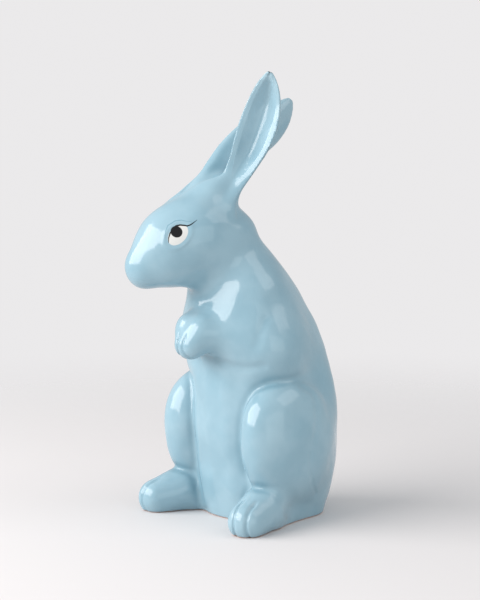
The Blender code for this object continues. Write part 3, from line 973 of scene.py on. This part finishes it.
# Painted shade: hollows take the deeper blue, along with the pooled glaze.
deep = sum_of(tree, "MULTIPLY", step_over(tree, pooling_and_light_value, POOL_AND_SHADE_FROM, POOL_AND_SHADE_TO), POOL_AND_SHADE_SHARE)
colour = mix_colours(tree, deep, colour, POOLED_AND_SHADE_BLUE)
# Painted highlight: thin rims take the paler blue, along with the thin glaze.
thick_glaze_without_highlight = step_over(tree, pooling_and_light_value, THIN_AND_HIGHLIGHT_TO, THIN_AND_HIGHLIGHT_FROM)
thin_and_highlight = sum_of(tree, "MULTIPLY", sum_of(tree, "SUBTRACT", 1.0, thick_glaze_without_highlight), THIN_AND_HIGHLIGHT_SHARE)
colour = mix_colours(tree, thin_and_highlight, colour, THIN_AND_HIGHLIGHT_BLUE)
print("glaze colours are set")

# %% [markdown]
# ## The eyes over the glaze
# The eye group gives three masks, and each one lays its paint over the colours so far: the
# painted shade of the lid's crease first, then the white, then the black, in the order in which a
# painter works.
# %% Paint the eyes over the glaze colours
EYE_WHITE = (0.640, 0.640, 0.620, 1.0)
EYE_BLACK = (0.002, 0.002, 0.003, 1.0)
CREASE_SHADE_SHARE = 0.6

eye = add(tree, "ShaderNodeGroup", node_tree=eye_tree)
feed(tree, eye.inputs["Vector"], here)
# The crease's painted shade, in the deeper blue.
crease_shade_paint = sum_of(tree, "MULTIPLY", eye.outputs["Crease Shade"], CREASE_SHADE_SHARE)
colour = mix_colours(tree, crease_shade_paint, colour, POOLED_AND_SHADE_BLUE)
colour = mix_colours(tree, eye.outputs["White"], colour, EYE_WHITE)
colour = mix_colours(tree, eye.outputs["Black"], colour, EYE_BLACK)
print("eyes are painted")

# %% [markdown]
# ## Bare clay at the foot
# A glazed piece can't stand on wet glaze in the kiln, so the foot is wiped clean. It shows as a
# thin pinkish line along the base, and as bare clay underneath. The line wavers with a little
# noise, because a sponge wiped it.
# %% Bare clay and gloss
BARE_CLAY = (0.520, 0.330, 0.260, 1.0)
WIPED_HEIGHT = 1.9 * PART
WIPED_WAVER = 1.6 * PART
WAVER_SCALE = 60.0
WIPED_EDGE = 0.25 * PART
GLAZE_ROUGHNESS = 0.13
CLAY_ROUGHNESS = 0.75

waver = add(tree, "ShaderNodeTexNoise")
feed(tree, waver.inputs["Vector"], here)
waver.inputs["Scale"].default_value = WAVER_SCALE
height = add(tree, "ShaderNodeSeparateXYZ")
feed(tree, height.inputs[0], here)
wiped = sum_of(tree, "MULTIPLY_ADD", waver.outputs["Fac"], -WIPED_WAVER, height.outputs["Z"])
wiped_to = WIPED_HEIGHT - WIPED_WAVER
glazed = step_over(tree, wiped, wiped_to - WIPED_EDGE, wiped_to + WIPED_EDGE)
colour = mix_colours(tree, glazed, BARE_CLAY, colour)
feed(tree, shader.inputs["Base Color"], colour)
roughness = sum_of(
    tree, "MULTIPLY_ADD", glazed, GLAZE_ROUGHNESS - CLAY_ROUGHNESS, CLAY_ROUGHNESS)
feed(tree, shader.inputs["Roughness"], roughness)
print("the foot is wiped up to", round(WIPED_HEIGHT / PART, 1), "parts")

# %% [markdown]
# ## The glaze's own skin
# Glaze sets with very slight ripples, far too low to model, so they are a weak bump. The material
# then takes the place of the one that came with the copied mesh.
# %% Fine relief
PEEL_SCALE = 120.0
PEEL_DETAIL = 2.0
PEEL_STRENGTH = 0.05

peel = add(tree, "ShaderNodeTexNoise")
feed(tree, peel.inputs["Vector"], here)
peel.inputs["Scale"].default_value = PEEL_SCALE
peel.inputs["Detail"].default_value = PEEL_DETAIL
bump = add(tree, "ShaderNodeBump")
bump.inputs["Strength"].default_value = PEEL_STRENGTH
bump.inputs["Distance"].default_value = PART
feed(tree, bump.inputs["Height"], peel.outputs["Fac"])
feed(tree, shader.inputs["Normal"], bump.outputs["Normal"])
skin.data.materials.clear()
skin.data.materials.append(glaze)
print(glaze.name, "has", len(tree.nodes), "nodes")

# %% [markdown]
# ## The studio floor
# The figure stands on a pale sheet that runs out of sight. A disc that fades to nothing before its
# edge does this from every side, where a curved backdrop would stand in the way of the camera.
# %% Floor
FLOOR_RADIUS = 4.0
FLOOR_SIDES = 96

disc = bmesh.new()
bmesh.ops.create_circle(disc, cap_ends=True, segments=FLOOR_SIDES, radius=FLOOR_RADIUS)
floor_mesh = bpy.data.meshes.new("floor")
disc.to_mesh(floor_mesh)
disc.free()
floor = bpy.data.objects.new("floor", floor_mesh)
bpy.context.scene.collection.objects.link(floor)
print("the floor is", 2 * FLOOR_RADIUS, "metres across")

# %% [markdown]
# ## The floor's paper
# Matt paper gives a soft shadow and hardly a reflection. Its alpha falls from the middle outwards,
# so the floor melts into the world's colour instead of ending at a line.
# %% Paper
PAPER_COLOUR = (0.705, 0.680, 0.680, 1.0)
PAPER_ROUGHNESS = 0.7
PAPER_SPECULAR = 0.2
FADE_FROM = 0.3
FADE_TO = 1.1

paper = bpy.data.materials.new("pale paper")
paper.use_nodes = True
paper_shader = paper.node_tree.nodes["Principled BSDF"]
paper_shader.inputs["Base Color"].default_value = PAPER_COLOUR
paper_shader.inputs["Roughness"].default_value = PAPER_ROUGHNESS
paper_shader.inputs["Specular IOR Level"].default_value = PAPER_SPECULAR
paper_here = add(paper.node_tree, "ShaderNodeTexCoord").outputs["Object"]
from_middle = vector_sum(paper.node_tree, "LENGTH", paper_here, output="Value")
faded = step_over(paper.node_tree, from_middle, FADE_FROM, FADE_TO)
feed(paper.node_tree, paper_shader.inputs["Alpha"], sum_of(paper.node_tree, "SUBTRACT", 1.0, faded))
floor.data.materials.append(paper)
print("the floor fades out between", FADE_FROM, "and", FADE_TO, "metres")

# %% [markdown]
# ## The even light of the room
# A white room lights the hare from all sides. The world stands for it, and a Light Path node shows
# the camera a lighter world than the one that lights the glaze, so the background and the shadows
# can each be matched.
# %% World
WORLD_SEEN = (0.830, 0.820, 0.828, 1.0)
WORLD_LIGHT = (0.570, 0.590, 0.605, 1.0)

world = bpy.data.worlds.new("studio")
bpy.context.scene.world = world
world.use_nodes = True
background = world.node_tree.nodes["Background"]
seen = add(world.node_tree, "ShaderNodeLightPath").outputs["Is Camera Ray"]
world_colour = mix_colours(world.node_tree, seen, WORLD_LIGHT, WORLD_SEEN)
feed(world.node_tree, background.inputs["Color"], world_colour)
print("the world shows", WORLD_SEEN[:3], "and lights with", WORLD_LIGHT[:3])

# %% [markdown]
# ## Lamps
# The photograph has one broad window-like light on the hare's right front, a weak one from behind
# its left shoulder, and a little that comes back from the hare's left. Highlights on the muzzle,
# the shoulder and the thigh all point to the same place, which is how the window's direction and
# its width were found. Area lamps have such a width, and a sun or a point lamp doesn't.
# %% Lamps
AIM = Vector((0.0178, -0.0129, 0.208))
WARM_WHITE = (1.0, 0.97, 0.95)
PLAIN_WHITE = (1.0, 1.0, 1.0)
COOL_WHITE = (0.93, 1.0, 1.0)


def direction_to(azimuth, elevation):
    """The direction from the hare out to an azimuth and elevation, in degrees."""
    turn, rise = radians(azimuth), radians(elevation)
    return Vector((sin(turn) * cos(rise), -cos(turn) * cos(rise), sin(rise)))


def soft_light(name, azimuth, elevation, away, width, height, power, colour):
    """A rectangular lamp that faces the hare."""
    data = bpy.data.lights.new(name, "AREA")
    data.color = colour
    data.shape = "RECTANGLE"
    data.size = width
    data.size_y = height
    data.energy = power
    lamp = bpy.data.objects.new(name, data)
    back = direction_to(azimuth, elevation)
    lamp.location = AIM + back * away
    lamp.rotation_mode = "QUATERNION"
    lamp.rotation_quaternion = (-back).to_track_quat("-Z", "Y")
    bpy.context.scene.collection.objects.link(lamp)


soft_light("window", -22.0, 25.0, away=1.9, width=2.4, height=1.3, power=57.0, colour=WARM_WHITE)
soft_light("far fill", 122.0, 42.0, away=2.2, width=1.6, height=1.2, power=9.0, colour=PLAIN_WHITE)
soft_light("side fill", 78.0, 4.0, away=2.2, width=1.7, height=1.4, power=8.0, colour=COOL_WHITE)
print("three lamps are set")

# %% [markdown]
# ## Camera
# The camera stands a little above the hare's middle and looks down 7 degrees, from in front of its
# left shoulder, with a long lens, so the figure shows little perspective. The plain Standard view
# keeps the pale blue as it is, where a filmic one would grey it.
# %% Camera
CAMERA_AZIMUTH = 50.0
CAMERA_ELEVATION = 7.0
CAMERA_AWAY = 1.872
LENS = 121.4
SENSOR = 36.0

camera_data = bpy.data.cameras.new("camera")
camera_data.lens = LENS
camera_data.sensor_width = SENSOR
camera = bpy.data.objects.new("camera", camera_data)
camera_back = direction_to(CAMERA_AZIMUTH, CAMERA_ELEVATION)
camera.location = AIM + camera_back * CAMERA_AWAY
camera.rotation_mode = "QUATERNION"
camera.rotation_quaternion = (-camera_back).to_track_quat("-Z", "Y")
bpy.context.scene.collection.objects.link(camera)
bpy.context.scene.camera = camera
bpy.context.scene.view_settings.view_transform = "Standard"
print("the camera is at", [round(value, 3) for value in camera.location])
